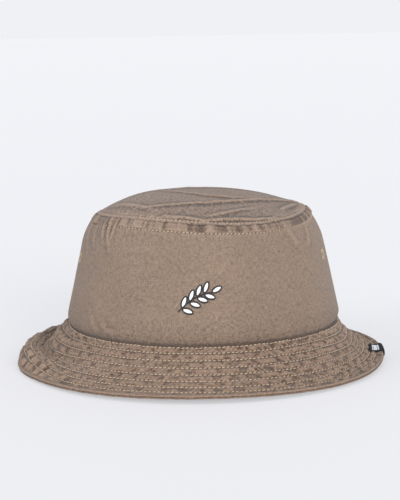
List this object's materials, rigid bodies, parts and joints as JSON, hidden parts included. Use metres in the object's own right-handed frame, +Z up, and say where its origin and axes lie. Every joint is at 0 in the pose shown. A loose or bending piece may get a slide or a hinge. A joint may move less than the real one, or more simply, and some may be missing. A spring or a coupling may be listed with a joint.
{
  "type": "bucket hat",
  "caption": "Cotton twill bucket hat with a domed top panel, panelled crown, concentrically stitched brim, side eyelets, sweatband and inner labels.",
  "frame": {"origin": "middle of the hat on the surface that the brim's edge rests on", "axes": "+Z up through the crown, -Y towards the front of the hat, +X towards the wearer's left"},
  "size_m": [0.2592, 0.2623, 0.1194],
  "materials": {
    "taupe_twill": "washed cotton twill, matt",
    "sweatband_twill": "cotton twill band, matt",
    "binding_tape": "folded cotton tape",
    "stiffener": "stiff non-woven interlining",
    "topstitch_thread": "spun polyester thread",
    "eyelet_thread": "close buttonhole stitch",
    "white_thread": "satin stitch embroidery",
    "black_thread": "satin stitch embroidery",
    "black_woven_label": "fine woven ribbon",
    "white_label": "woven satin ribbon"
  },
  "bodies": {
    "hat": {"crown_top_panel": "taupe_twill", "crown_front_panel": "taupe_twill", "crown_back_panel": "taupe_twill", "brim_upper_front": "taupe_twill", "brim_upper_back": "taupe_twill", "brim_lower_front": "taupe_twill", "brim_lower_back": "taupe_twill", "brim_stiffener": "stiffener", "sweatband": "sweatband_twill", "top_seam_binding": "binding_tape", "side_seam_binding_left": "binding_tape", "side_seam_binding_right": "binding_tape", "eyelet_front_left": "eyelet_thread", "eyelet_front_right": "eyelet_thread", "eyelet_back_left": "eyelet_thread", "eyelet_back_right": "eyelet_thread", "motif_outline": "black_thread", "motif_fill": "white_thread", "brim_edge_label": "black_woven_label", "size_label": "white_label", "top_seam_stitch_upper": "topstitch_thread", "top_seam_stitch_lower": "topstitch_thread", "base_seam_stitch": "topstitch_thread", "sweatband_stitch": "topstitch_thread", "brim_stitch_row_1": "topstitch_thread", "brim_stitch_row_2": "topstitch_thread", "brim_stitch_row_3": "topstitch_thread", "brim_stitch_row_4": "topstitch_thread", "brim_stitch_row_5": "topstitch_thread", "brim_stitch_row_6": "topstitch_thread", "brim_stitch_row_7": "topstitch_thread"},
    "care_label": {"care_label": "white_label"}
  },
  "joints": [
    {"name": "care_label_swing", "type": "hinge", "parent": "hat", "child": "care_label", "pos_m": [0, 0.081, 0.0944], "axis": [1, 0, 0], "range_deg": [-75, 10]}
  ]
}
